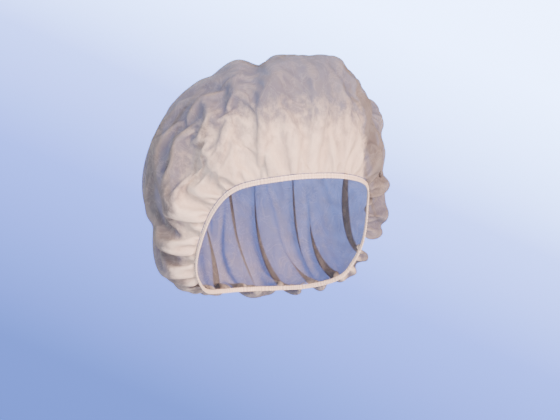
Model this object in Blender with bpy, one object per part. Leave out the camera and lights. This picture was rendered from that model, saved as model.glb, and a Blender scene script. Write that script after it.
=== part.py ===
"""Bouffant cap: a gathered nonwoven crown on an elastic band, in the shape that it keeps on a head.

Metres, +Z up, the face opening towards -Y. The origin is the middle of the head opening, the loop of
the elastic band: half way from forehead to nape, and half way between the band's highest and lowest
points. Turn goes round the cap from the forehead (0) by the wearer's left (0.25) to the nape (0.5).
Drop goes down the crown from its peak (0) to the band (1).
"""

import math
import random
from collections import namedtuple

import bmesh
import bpy
from mathutils import Vector
from mathutils.geometry import interpolate_bezier

# Head opening: the loop that the elastic band makes round a head
OPENING_DEPTH = 0.171  # forehead to nape, measured level
OPENING_WIDTH = 0.156  # over the ears
OPENING_RISE = 0.117  # how much higher the band lies at the forehead than at the nape
HEAD_HEIGHT = 0.300  # of the egg shape that the band's inner face lies on

# Crown: one gathered disc of cloth, puffed out over the head
CROWN_LENGTH = 0.250  # front to back
CROWN_WIDTH = 0.208  # side to side
CROWN_TOP = 0.160  # peak above the opening's middle
CROWN_SET_BACK = 0.032  # middle of the crown behind the opening's middle
PEAK_SET_FORWARD = 0.020  # peak in front of the opening's middle
CLOTH_THICKNESS = 0.0010
FOLD_HEIGHT = 0.0100  # of the strongest main fold

# Gathers: small pleats that run up from the band and die out in the crown
GATHERS = 24
GATHER_HEIGHT = 0.0034
GATHER_RISE = 0.016  # distance from the band to where a gather is highest
GATHER_REACH = 0.085  # distance from the band to where a long gather ends
GATHER_AT_HEM = 0.14  # share of its height that a gather has on the band
GATHER_UNEVENNESS = 0.45  # share by which one gather may be lower and shorter than another
GATHER_SEED = 5

# Elastic band: a flat casing that lies on the head, with the cloth's hem seated on its upper edge
BAND_WIDTH = 0.0045
BAND_THICKNESS = 0.0020
BAND_ROUNDING = 0.0006
BAND_SEAT = 0.0003  # clearance between the band and the hem

# Fineness of the faceted surfaces
COLUMNS_PER_GATHER = 4
COLUMNS = GATHERS * COLUMNS_PER_GATHER
RINGS = 34
RING_EASE = 1.15  # above 1, rings stand closer together near the band
QUARTER_COLUMNS_TO = 0.10  # drop down to which a ring has a quarter of the columns
HALF_COLUMNS_TO = 0.40  # drop down to which a ring has half of the columns
CURVE_STEPS = 16
FOLD_STEP = 0.01  # turn and drop over which a fold's own directions are taken

# The band's half loop from forehead to nape, which the other half mirrors. out is a share of half the
# opening's width, fore of half its depth, and rise of half its rise.
BandStation = namedtuple("BandStation", "out fore rise")
BAND_STATIONS = (
    BandStation(out=0.00, fore=1.00, rise=1.00),
    BandStation(out=0.39, fore=0.94, rise=0.965),
    BandStation(out=0.77, fore=0.62, rise=0.81),
    BandStation(out=0.93, fore=0.33, rise=0.45),
    BandStation(out=1.00, fore=0.10, rise=-0.08),
    BandStation(out=0.97, fore=-0.09, rise=-0.46),
    BandStation(out=0.86, fore=-0.23, rise=-0.73),
    BandStation(out=0.64, fore=-0.57, rise=-0.91),
    BandStation(out=0.36, fore=-0.86, rise=-0.98),
    BandStation(out=0.00, fore=-1.00, rise=-1.00),
)

# Upright sections through the crown, a twelfth of a turn apart from the forehead on. reach scales the
# plan ellipse there. waist is the height of the widest point as a share of the crown's top. shoulder
# is how square the outline is above it, 2 being a true ellipse. belly is how far the cloth hangs
# straight down from it, as a share of the fall to the band. flare is the angle in degrees at which
# the cloth leaves the head, and lift how far it keeps that way, as a share of the opening's depth.
# gather is the share of the full gather height.
CrownSection = namedtuple("CrownSection", "reach waist shoulder belly flare lift gather")
CROWN_SECTIONS = (
    CrownSection(reach=0.97, waist=0.64, shoulder=2.4, belly=0.40, flare=12, lift=0.08, gather=0.35),
    CrownSection(reach=0.98, waist=0.54, shoulder=2.5, belly=0.60, flare=22, lift=0.10, gather=0.45),
    CrownSection(reach=0.96, waist=0.42, shoulder=2.2, belly=1.00, flare=50, lift=0.15, gather=0.80),
    CrownSection(reach=0.98, waist=0.30, shoulder=2.1, belly=1.20, flare=65, lift=0.16, gather=1.00),
    CrownSection(reach=1.00, waist=0.24, shoulder=2.1, belly=1.30, flare=80, lift=0.16, gather=1.00),
    CrownSection(reach=1.00, waist=0.20, shoulder=2.1, belly=1.40, flare=90, lift=0.16, gather=1.00),
    CrownSection(reach=1.00, waist=0.18, shoulder=2.1, belly=1.40, flare=95, lift=0.15, gather=0.95),
    CrownSection(reach=0.98, waist=0.24, shoulder=2.1, belly=1.12, flare=100, lift=0.12, gather=1.00),
    CrownSection(reach=1.01, waist=0.25, shoulder=2.1, belly=1.05, flare=85, lift=0.13, gather=1.00),
    CrownSection(reach=0.99, waist=0.30, shoulder=2.1, belly=1.10, flare=60, lift=0.15, gather=1.00),
    CrownSection(reach=0.98, waist=0.42, shoulder=2.1, belly=0.90, flare=40, lift=0.12, gather=0.85),
    CrownSection(reach=0.98, waist=0.56, shoulder=2.3, belly=0.55, flare=20, lift=0.09, gather=0.50),
)

# Main folds and dents. turn and drop place the middle. heading is the fold's direction, in degrees
# from straight down, towards rising turn. length and width are half sizes as shares of the crown's
# length, and height is a share of the strongest fold's, negative for a dent.
Fold = namedtuple("Fold", "turn drop heading length width height")
FOLDS = (
    Fold(turn=0.620, drop=0.09, heading=124, length=0.22, width=0.036, height=-0.90),
    Fold(turn=0.640, drop=0.16, heading=122, length=0.18, width=0.036, height=0.55),
    Fold(turn=0.640, drop=0.24, heading=115, length=0.16, width=0.036, height=-0.55),
    Fold(turn=0.130, drop=0.27, heading=75, length=0.16, width=0.060, height=0.80),
    Fold(turn=0.160, drop=0.585, heading=80, length=0.16, width=0.036, height=0.75),
    Fold(turn=0.165, drop=0.66, heading=75, length=0.16, width=0.040, height=-0.40),
    Fold(turn=0.225, drop=0.85, heading=80, length=0.14, width=0.045, height=0.55),
    Fold(turn=0.675, drop=0.725, heading=77, length=0.26, width=0.036, height=-1.10),
    Fold(turn=0.730, drop=0.68, heading=37, length=0.18, width=0.034, height=-0.60),
    Fold(turn=0.765, drop=0.64, heading=37, length=0.18, width=0.040, height=0.35),
    Fold(turn=0.640, drop=0.63, heading=80, length=0.16, width=0.046, height=0.45),
    Fold(turn=0.615, drop=0.96, heading=0, length=0.05, width=0.070, height=0.80),
    Fold(turn=0.560, drop=0.45, heading=10, length=0.30, width=0.050, height=-0.40),
    Fold(turn=0.480, drop=0.60, heading=-15, length=0.28, width=0.060, height=0.35),
    Fold(turn=0.410, drop=0.50, heading=15, length=0.26, width=0.045, height=-0.45),
    Fold(turn=0.330, drop=0.70, heading=-20, length=0.20, width=0.050, height=0.40),
    Fold(turn=0.260, drop=0.55, heading=30, length=0.22, width=0.040, height=-0.40),
    Fold(turn=0.930, drop=0.42, heading=-25, length=0.16, width=0.045, height=0.20),
    Fold(turn=0.060, drop=0.40, heading=20, length=0.18, width=0.040, height=-0.20),
)

# A place on the band, with the ways from it that lead away from the head and up the head
Seat = namedtuple("Seat", "point away up")


def smooth_value(before, start, end, after, share):
    """Value a share of the way from start to end on a smooth curve through all four."""
    leaving = (end - before) / 2
    arriving = (after - start) / 2
    step = end - start
    bend = 3 * step - 2 * leaving - arriving
    twist = leaving + arriving - 2 * step
    return start + leaving * share + bend * share ** 2 + twist * share ** 3


def ease(share):
    """Smooth step from 0 to 1 as share goes from 0 to 1."""
    share = min(max(share, 0), 1)
    return share * share * (3 - 2 * share)


def row_at(rows, turn):
    """Smooth row at any turn of a table whose rows stand equally far apart round the cap."""
    place = turn * len(rows)
    index = math.floor(place)
    neighbours = [rows[(index + step) % len(rows)] for step in (-1, 0, 1, 2)]
    values = [smooth_value(*column, place - index) for column in zip(*neighbours)]
    return type(rows[0])(*values)


def points_along(line, shares):
    """Points at rising shares of the length of an open line of points."""
    reach = [0.0]
    for start, end in zip(line, line[1:]):
        reach.append(reach[-1] + (end - start).length)
    points = []
    index = 0
    for share in shares:
        while index < len(line) - 2 and reach[index + 1] < share * reach[-1]:
            index += 1
        run = (share * reach[-1] - reach[index]) / (reach[index + 1] - reach[index])
        points.append(line[index].lerp(line[index + 1], run))
    return points


def band_seats():
    """Seats at equal steps along the band, one for each column of the crown."""
    half = [
        Vector((row.out * OPENING_WIDTH, -row.fore * OPENING_DEPTH, row.rise * OPENING_RISE)) / 2
        for row in BAND_STATIONS
    ]
    other_half = [Vector((-point.x, point.y, point.z)) for point in reversed(half[1:-1])]
    stations = half + other_half
    steps = len(stations) * CURVE_STEPS
    curve = []
    for step in range(steps + 1):
        place = step / CURVE_STEPS
        index = math.floor(place)
        neighbours = [stations[(index + offset) % len(stations)] for offset in (-1, 0, 1, 2)]
        curve.append(smooth_value(*neighbours, place - index))
    loop = points_along(curve, [column / COLUMNS for column in range(COLUMNS)])
    seats = []
    for column, point in enumerate(loop):
        along = (loop[(column + 1) % COLUMNS] - loop[column - 1]).normalized()
        away = Vector((
            point.x / OPENING_WIDTH ** 2,
            point.y / OPENING_DEPTH ** 2,
            point.z / HEAD_HEIGHT ** 2,
        ))
        away = (away - along * away.dot(along)).normalized()
        seats.append(Seat(point, away, away.cross(along)))
    return seats


def crown_profile(seats, turn):
    """Smooth line from the crown's peak to its hem at one turn, before folds and gathers."""
    section = row_at(CROWN_SECTIONS, turn)
    seat = row_at(seats, turn)
    angle = math.tau * turn
    peak = Vector((0, -PEAK_SET_FORWARD, CROWN_TOP))
    widest = Vector((
        math.sin(angle) * section.reach * CROWN_WIDTH / 2,
        CROWN_SET_BACK - math.cos(angle) * section.reach * CROWN_LENGTH / 2,
        section.waist * CROWN_TOP,
    ))
    line = []
    for step in range(CURVE_STEPS):
        swing = math.pi / 2 * step / CURVE_STEPS
        outward = math.sin(swing) ** (2 / section.shoulder)
        upward = math.cos(swing) ** (2 / section.shoulder)
        point = peak.lerp(widest, outward)
        point.z = widest.z + (peak.z - widest.z) * upward
        line.append(point)
    hem = seat.point + seat.up * (BAND_WIDTH / 2 + BAND_SEAT) + seat.away * (CLOTH_THICKNESS / 2)
    flare = math.radians(section.flare)
    lift = (seat.up * math.cos(flare) + seat.away * math.sin(flare)) * section.lift * OPENING_DEPTH
    belly = Vector((0, 0, section.belly * (widest.z - hem.z)))
    line += interpolate_bezier(widest, widest - belly, hem + lift, hem, CURVE_STEPS)
    return line


def fold_marks(seats):
    """Middle and sideways direction of each main fold, on the smooth crown."""
    marks = []
    for fold in FOLDS:
        line = crown_profile(seats, fold.turn)
        beside = crown_profile(seats, fold.turn + FOLD_STEP)
        middle, below = points_along(line, [fold.drop, fold.drop + FOLD_STEP])
        down = (below - middle).normalized()
        level = points_along(beside, [fold.drop])[0] - middle
        level = (level - down * level.dot(down)).normalized()
        heading = math.radians(fold.heading)
        marks.append((middle, level * math.cos(heading) - down * math.sin(heading)))
    return marks


def fold_height(point, marks):
    """Height of all main folds together at a point of the smooth crown."""
    height = 0
    for fold, (middle, across) in zip(FOLDS, marks):
        offset = point - middle
        length = fold.length * CROWN_LENGTH
        width = fold.width * CROWN_LENGTH
        side = offset.dot(across)
        run = offset - across * side
        spread = run.length_squared / length ** 2 + side ** 2 / width ** 2
        height += fold.height * FOLD_HEIGHT * math.exp(-spread)
    return height


def gather_sizes():
    """Own share of height and of reach for each gather, seeded so that they never change."""
    chance = random.Random(GATHER_SEED)
    return [
        (1 - GATHER_UNEVENNESS * chance.random(), 1 - GATHER_UNEVENNESS * chance.random())
        for _ in range(GATHERS)
    ]


def gather_height(turn, distance, sizes):
    """Height of the gathers at a turn, a distance above the hem."""
    place = turn * GATHERS
    size, reach = sizes[round(place) % GATHERS]
    rise = GATHER_AT_HEM + (1 - GATHER_AT_HEM) * ease(distance / GATHER_RISE)
    fade = 1 - ease(distance / (GATHER_REACH * reach))
    wave = math.cos(math.tau * place)
    return GATHER_HEIGHT * row_at(CROWN_SECTIONS, turn).gather * size * rise * fade * wave


def ring_columns(drop):
    """Number of columns that a ring has at a drop."""
    if drop < QUARTER_COLUMNS_TO:
        return COLUMNS // 4
    if drop < HALF_COLUMNS_TO:
        return COLUMNS // 2
    return COLUMNS


def join_rings(shell, upper, lower):
    """Faces between two closed rings, the lower with as many points as the upper or twice as many."""
    split = len(lower) // len(upper)
    for index, corner in enumerate(upper):
        next_corner = upper[(index + 1) % len(upper)]
        first = lower[index * split]
        last = lower[(index + 1) * split % len(lower)]
        if split == 1:
            shell.faces.new((corner, first, last, next_corner))
            continue
        middle = lower[index * split + 1]
        shell.faces.new((corner, first, middle))
        shell.faces.new((corner, middle, next_corner))
        shell.faces.new((next_corner, middle, last))


def crown_mesh(seats):
    """The crown's outer surface, with its folds and gathers."""
    lines = [crown_profile(seats, column / COLUMNS) for column in range(COLUMNS)]
    drops = [1 - (1 - ring / RINGS) ** RING_EASE for ring in range(1, RINGS + 1)]
    grid = [points_along(line, drops) for line in lines]
    spans = [sum((end - start).length for start, end in zip(line, line[1:])) for line in lines]
    shell = bmesh.new()
    peak = shell.verts.new(lines[0][0])
    rings = []
    places = {}
    for ring, drop in enumerate(drops):
        skip = COLUMNS // ring_columns(drop)
        corners = []
        for column in range(0, COLUMNS, skip):
            corner = shell.verts.new(grid[column][ring])
            places[corner] = (column / COLUMNS, (1 - drop) * spans[column])
            corners.append(corner)
        rings.append(corners)
    for index, corner in enumerate(rings[0]):
        shell.faces.new((peak, corner, rings[0][(index + 1) % len(rings[0])]))
    for upper, lower in zip(rings, rings[1:]):
        join_rings(shell, upper, lower)
    shell.normal_update()
    marks = fold_marks(seats)
    sizes = gather_sizes()
    moves = {}
    for corner, (turn, distance) in places.items():
        held = ease(distance / GATHER_RISE)
        height = held * fold_height(corner.co, marks) + gather_height(turn, distance, sizes)
        moves[corner] = corner.normal * height
    for corner, move in moves.items():
        corner.co += move
    bmesh.ops.triangulate(shell, faces=shell.faces, quad_method="SHORT_EDGE")
    mesh = bpy.data.meshes.new("crown")
    shell.to_mesh(mesh)
    shell.free()
    return mesh


def band_mesh(seats):
    """The elastic band's casing: a flat bar with rounded edges, swept round the head."""
    half_width = BAND_WIDTH / 2
    half_depth = BAND_THICKNESS / 2
    inner_width = half_width - BAND_ROUNDING
    inner_depth = half_depth - BAND_ROUNDING
    section = (
        (half_width, inner_depth), (inner_width, half_depth),
        (-inner_width, half_depth), (-half_width, inner_depth),
        (-half_width, -inner_depth), (-inner_width, -half_depth),
        (inner_width, -half_depth), (half_width, -inner_depth),
    )
    shell = bmesh.new()
    rings = [
        [shell.verts.new(seat.point + seat.up * up + seat.away * away) for up, away in section]
        for seat in seats
    ]
    for index, ring in enumerate(rings):
        join_rings(shell, ring, rings[(index + 1) % len(rings)])
    bmesh.ops.recalc_face_normals(shell, faces=shell.faces)
    mesh = bpy.data.meshes.new("elastic_band")
    shell.to_mesh(mesh)
    shell.free()
    return mesh


def finish(name, mesh, colour, roughness):
    """Object with its own material, shaded smooth."""
    material = bpy.data.materials.new(name)
    material.use_nodes = True
    shader = material.node_tree.nodes["Principled BSDF"]
    shader.inputs["Base Color"].default_value = (*colour, 1)
    shader.inputs["Roughness"].default_value = roughness
    shader.inputs["Metallic"].default_value = 0
    mesh.materials.append(material)
    mesh.shade_smooth()
    piece = bpy.data.objects.new(name, mesh)
    bpy.context.scene.collection.objects.link(piece)
    return piece


def build():
    """Empties the scene and builds the cap."""
    for old in list(bpy.data.objects):
        bpy.data.objects.remove(old)
    seats = band_seats()
    crown = finish("crown", crown_mesh(seats), colour=(0.72, 0.69, 0.67), roughness=0.85)
    wall = crown.modifiers.new("wall", "SOLIDIFY")
    wall.thickness = CLOTH_THICKNESS
    wall.offset = -1
    finish("elastic_band", band_mesh(seats), colour=(0.78, 0.75, 0.72), roughness=0.8)


build()
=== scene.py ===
"""Bouffant cap, dressed: a translucent nonwoven crown gathered on the casing of an elastic band.

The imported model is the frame. The crown is one disc of cloth, laid over the same form as the packed
crown from the same named sizes, and then relaxed towards its flat size, so that it buckles. Metres,
+Z up, the face opening towards -Y. Turn goes round the cap from the forehead (0) by the wearer's left
(0.25) to the nape (0.5). Drop goes down the crown from its peak (0) to the band (1).
"""

from __future__ import annotations

import logging
import math
from dataclasses import dataclass
from dataclasses import field
from enum import Enum
from typing import Any

import bmesh
import bpy
import numpy as np
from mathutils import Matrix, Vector


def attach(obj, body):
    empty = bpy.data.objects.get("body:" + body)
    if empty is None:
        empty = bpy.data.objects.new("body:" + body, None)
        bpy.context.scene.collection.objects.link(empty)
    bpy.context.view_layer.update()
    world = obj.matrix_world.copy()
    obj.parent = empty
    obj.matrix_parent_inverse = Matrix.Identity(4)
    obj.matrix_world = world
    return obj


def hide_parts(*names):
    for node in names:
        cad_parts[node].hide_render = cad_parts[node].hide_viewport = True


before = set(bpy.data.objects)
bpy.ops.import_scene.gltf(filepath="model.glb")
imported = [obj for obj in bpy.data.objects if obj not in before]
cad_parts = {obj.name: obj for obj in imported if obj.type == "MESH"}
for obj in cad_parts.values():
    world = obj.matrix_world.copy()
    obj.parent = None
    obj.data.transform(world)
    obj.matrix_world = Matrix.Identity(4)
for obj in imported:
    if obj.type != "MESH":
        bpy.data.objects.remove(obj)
log = logging.getLogger("cap")

Colour = tuple[float, float, float]
Place = tuple[float, float, float]

# Where a change starts and where it ends, or the least and the most of something
Span = tuple[float, float]

# Keeps a length that is divided by above nothing
TINY = 1e-12

# The band's half loop from forehead to nape, mirrored for the other half: shares of half the opening's
# width, depth and rise (out, fore, rise)
BAND_STATIONS = np.array([
    (0.00, 1.00, 1.000),
    (0.39, 0.94, 0.965),
    (0.77, 0.62, 0.810),
    (0.93, 0.33, 0.450),
    (1.00, 0.10, -0.08),
    (0.97, -0.09, -0.46),
    (0.86, -0.23, -0.73),
    (0.64, -0.57, -0.91),
    (0.36, -0.86, -0.98),
    (0.00, -1.00, -1.00),
])

# Upright sections through the crown, a twelfth of a turn apart from the forehead on (reach, waist,
# shoulder, belly, flare, lift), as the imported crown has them
CROWN_SECTIONS = np.array([
    (0.97, 0.64, 2.4, 0.40, 12, 0.08),
    (0.98, 0.54, 2.5, 0.60, 22, 0.10),
    (0.96, 0.42, 2.2, 1.00, 50, 0.15),
    (0.98, 0.30, 2.1, 1.20, 65, 0.16),
    (1.00, 0.24, 2.1, 1.30, 80, 0.16),
    (1.00, 0.20, 2.1, 1.40, 90, 0.16),
    (1.00, 0.18, 2.1, 1.40, 95, 0.15),
    (0.98, 0.24, 2.1, 1.12, 100, 0.12),
    (1.01, 0.25, 2.1, 1.05, 85, 0.13),
    (0.99, 0.30, 2.1, 1.10, 60, 0.15),
    (0.98, 0.42, 2.1, 0.90, 40, 0.12),
    (0.98, 0.56, 2.3, 0.55, 20, 0.09),
])

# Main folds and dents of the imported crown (turn, drop, heading in degrees, length, width, height)
MAIN_FOLDS = (
    (0.620, 0.09, 124, 0.22, 0.036, -0.90),
    (0.640, 0.16, 122, 0.18, 0.036, 0.55),
    (0.640, 0.24, 115, 0.16, 0.036, -0.55),
    (0.130, 0.27, 75, 0.16, 0.060, 0.80),
    (0.160, 0.585, 80, 0.16, 0.036, 0.75),
    (0.165, 0.66, 75, 0.16, 0.040, -0.40),
    (0.225, 0.85, 80, 0.14, 0.045, 0.55),
    (0.675, 0.725, 77, 0.26, 0.036, -1.10),
    (0.730, 0.68, 37, 0.18, 0.034, -0.60),
    (0.765, 0.64, 37, 0.18, 0.040, 0.35),
    (0.640, 0.63, 80, 0.16, 0.046, 0.45),
    (0.615, 0.96, 0, 0.05, 0.070, 0.80),
    (0.560, 0.45, 10, 0.30, 0.050, -0.40),
    (0.480, 0.60, -15, 0.28, 0.060, 0.35),
    (0.410, 0.50, 15, 0.26, 0.045, -0.45),
    (0.330, 0.70, -20, 0.20, 0.050, 0.40),
    (0.260, 0.55, 30, 0.22, 0.040, -0.40),
    (0.930, 0.42, -25, 0.16, 0.045, 0.20),
    (0.060, 0.40, 20, 0.18, 0.040, -0.20),
)


class Blend(Enum):
    """How a second colour is laid over a first."""

    MIX = "MIX"
    MULTIPLY = "MULTIPLY"


class Slot(Enum):
    """Names of two material slots."""

    NONWOVEN = "nonwoven"
    ELASTIC_CASING = "elastic_casing"


def ease(share: np.ndarray) -> np.ndarray:
    """Smooth step from 0 to 1 as share goes from 0 to 1."""
    held = np.clip(share, 0, 1)
    return held * held * (3 - 2 * held)


def rising(values: np.ndarray, span: Span) -> np.ndarray:
    """0 before a span, 1 after it and a smooth rise over it."""
    low, high = span
    return ease((values - low) / (high - low))


def turns_from(turns: np.ndarray, place: float) -> np.ndarray:
    """How far turns are from a place on the loop, the shorter way round."""
    return (turns - place + 0.5) % 1 - 0.5


def closed_curve(rows: np.ndarray, places: np.ndarray) -> np.ndarray:
    """Runs a smooth closed curve through rows.

    Args:
        rows: the points or values that the curve passes, one a row.
        places: where to read it, counted in rows from the first.

    Returns:
        One row for each place.
    """
    index = np.floor(places).astype(int)
    share = (places - index)[:, None]
    before, start, end, after = (rows[(index + step) % len(rows)] for step in (-1, 0, 1, 2))
    leaving = (end - before) / 2
    arriving = (after - start) / 2
    step = end - start
    bend = 3 * step - 2 * leaving - arriving
    twist = leaving + arriving - 2 * step
    return start + leaving * share + bend * share ** 2 + twist * share ** 3


def spread_along(lines: np.ndarray, shares: np.ndarray) -> tuple[np.ndarray, np.ndarray]:
    """Spaces points out along open lines.

    Args:
        lines: one line a row, each an array of points.
        shares: rising shares of a line's length, the same for every line.

    Returns:
        The points at those shares of each line, and each line's length.
    """
    steps = np.linalg.norm(np.diff(lines, axis=1), axis=2)
    reach = np.concatenate([np.zeros((len(lines), 1)), np.cumsum(steps, axis=1)], axis=1)
    spans = reach[:, -1]
    placed = np.empty((len(lines), len(shares), 3))
    for number, line in enumerate(lines):
        for axis in range(3):
            placed[number, :, axis] = np.interp(shares * spans[number], reach[number], line[:, axis])
    return placed, spans


def unit(vectors: np.ndarray) -> np.ndarray:
    """The vectors at length one."""
    return vectors / np.maximum(np.linalg.norm(vectors, axis=-1, keepdims=True), TINY)


def dot(first: np.ndarray, second: np.ndarray) -> np.ndarray:
    """The products of two arrays of vectors, kept as a column."""
    return np.sum(first * second, axis=-1, keepdims=True)


def new_object(name: str, mesh: bpy.types.Mesh) -> bpy.types.Object:
    """Adds a mesh to the scene as an object of its own at the origin.

    Args:
        name: the piece's name.
        mesh: its mesh.

    Returns:
        The new object.
    """
    piece = bpy.data.objects.new(name, mesh)
    bpy.context.scene.collection.objects.link(piece)
    return piece


def write_attribute(mesh: bpy.types.Mesh, name: str, values: np.ndarray) -> None:
    """Stores one number a vertex on a mesh, for its material."""
    layer = mesh.attributes.new(name, "FLOAT", "POINT")
    layer.data.foreach_set("value", np.asarray(values, np.float32).ravel())


def write_vectors(mesh: bpy.types.Mesh, name: str, values: np.ndarray) -> None:
    """Stores one vector a vertex on a mesh, for its material."""
    layer = mesh.attributes.new(name, "FLOAT_VECTOR", "POINT")
    layer.data.foreach_set("vector", values.astype(np.float32).ravel())


def read_points(mesh: bpy.types.Mesh) -> np.ndarray:
    """Reads the mesh's points.

    Args:
        mesh: the mesh.

    Returns:
        One row for each point.
    """
    flat = np.empty(len(mesh.vertices) * 3, np.float32)
    mesh.vertices.foreach_get("co", flat)
    return flat.reshape(-1, 3).astype(float)


def smoothed(mesh: bpy.types.Mesh, values: np.ndarray, passes: int) -> np.ndarray:
    """Evens values out over a mesh.

    Args:
        mesh: the mesh whose edges join the points.
        values: one row for each point.
        passes: how often each point moves half way to the mean of its neighbours.

    Returns:
        The evened values.
    """
    ends = np.empty(len(mesh.edges) * 2, np.int32)
    mesh.edges.foreach_get("vertices", ends)
    first, second = ends.reshape(-1, 2).T
    count = len(values)
    degree = np.bincount(ends, minlength=count)[:, None]
    even = values.astype(float)
    for _ in range(passes):
        total = np.stack([
            np.bincount(first, even[second, axis], count) + np.bincount(second, even[first, axis], count)
            for axis in range(even.shape[1])
        ], axis=1)
        even = (even + total / degree) / 2
    return even


@dataclass(frozen=True)
class Shade:
    """One output of a shader node, with arithmetic that adds the Math nodes that it takes."""

    graph: Graph
    output: bpy.types.NodeSocket

    def __add__(self, other: Shade | float) -> Shade:
        """Sum."""
        return self.graph.maths("ADD", self, other)

    def __radd__(self, other: float) -> Shade:
        """Sum with a number first."""
        return self.graph.maths("ADD", other, self)

    def __sub__(self, other: Shade | float) -> Shade:
        """Difference."""
        return self.graph.maths("SUBTRACT", self, other)

    def __rsub__(self, other: float) -> Shade:
        """Difference from a number."""
        return self.graph.maths("SUBTRACT", other, self)

    def __mul__(self, other: Shade | float) -> Shade:
        """Product."""
        return self.graph.maths("MULTIPLY", self, other)

    def __rmul__(self, other: float) -> Shade:
        """Product with a number first."""
        return self.graph.maths("MULTIPLY", other, self)

    def __abs__(self) -> Shade:
        """Distance from 0."""
        return self.graph.maths("ABSOLUTE", self)

    def at_most(self, top: float) -> Shade:
        """The same value held below a top."""
        return self.graph.maths("MINIMUM", self, top)

    def between(self, low: float, high: float) -> Shade:
        """0 below low, 1 above high and a smooth rise from one to the other."""
        sockets = {"Value": self, "From Min": low, "From Max": high}
        return self.graph.node("ShaderNodeMapRange", {"interpolation_type": "SMOOTHSTEP"}, sockets, "Result")


class Graph:
    """The node tree of one new material."""

    def __init__(self, name: str) -> None:
        """Starts a material with nothing in it.

        Args:
            name: the material's name.
        """
        self.material = bpy.data.materials.new(name)
        self.material.use_nodes = True
        self.tree = self.material.node_tree
        self.tree.nodes.clear()

    def node(
        self,
        kind: str,
        settings: dict[str, Any] | None = None,
        sockets: dict[str | int, Any] | None = None,
        output: str | int = 0,
    ) -> Shade:
        """Adds any node.

        Args:
            kind: the node's type.
            settings: its properties, set first; stops are a ramp's places and colours.
            sockets: a value or a link for each named or numbered input.
            output: the output that is handed back.

        Returns:
            That output.
        """
        made = self.tree.nodes.new(kind)
        for key, value in (settings or {}).items():
            if key == "stops":
                self._set_stops(made.color_ramp, value)
            else:
                setattr(made, key, value)
        for key, value in (sockets or {}).items():
            if isinstance(value, Shade):
                self.tree.links.new(value.output, made.inputs[key])
            else:
                made.inputs[key].default_value = value
        return Shade(self, made.outputs[output] if len(made.outputs) else None)

    @staticmethod
    def _set_stops(ramp: bpy.types.ColorRamp, stops: list[tuple[float, Colour]]) -> None:
        """Gives a ramp its places and colours.

        Args:
            ramp: the ramp, with the two stops that a new one has.
            stops: each stop's place from 0 to 1 and its colour.
        """
        while len(ramp.elements) < len(stops):
            ramp.elements.new(1)
        for element, (place, colour) in zip(ramp.elements, stops):
            element.position = place
            element.color = (*colour, 1)

    def maths(self, operation: str, *values: Shade | float) -> Shade:
        """Adds a Math node on values."""
        return self.node("ShaderNodeMath", {"operation": operation}, dict(enumerate(values)))

    def mix(
        self,
        share: Shade,
        first: Shade | Colour,
        second: Shade | Colour,
        blend: Blend = Blend.MIX,
    ) -> Shade:
        """Mixes two colours.

        Args:
            share: how much of the second there is.
            first: the colour at 0.
            second: the colour at 1.
            blend: how the second is laid over the first.

        Returns:
            The mixed colour.
        """
        sockets = {0: share}
        for place, colour in ((6, first), (7, second)):
            sockets[place] = colour if isinstance(colour, Shade) else (*colour, 1)
        return self.node("ShaderNodeMix", {"data_type": "RGBA", "blend_type": blend.value}, sockets, 2)

    def flat_noise(self, place: Shade, scale: float, **looks: float) -> Shade:
        """Adds noise over a UV map."""
        sockets = {"Vector": place, "Scale": scale, **looks}
        return self.node("ShaderNodeTexNoise", {"noise_dimensions": "2D"}, sockets)

    def attribute(self, name: str, output: str = "Fac") -> Shade:
        """Reads what is stored on the piece under a name."""
        return self.node("ShaderNodeAttribute", {"attribute_name": name}, output=output)

    def finished(self, surface: Shade) -> bpy.types.Material:
        """Closes the tree with its surface and hands the material over."""
        self.node("ShaderNodeOutputMaterial", sockets={"Surface": surface})
        return self.material


@dataclass(frozen=True)
class ClothMasks:
    """What varies over the nonwoven: each is 0 where there is none of it and 1 where there is most."""

    cloud: Shade
    patches: Shade
    painted_crease_tone: Shade
    fibres: Shade
    bond: Shade
    pleated: Shade
    ridge_highlight: Shade
    thickness: Shade
    bright: Shade


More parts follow.
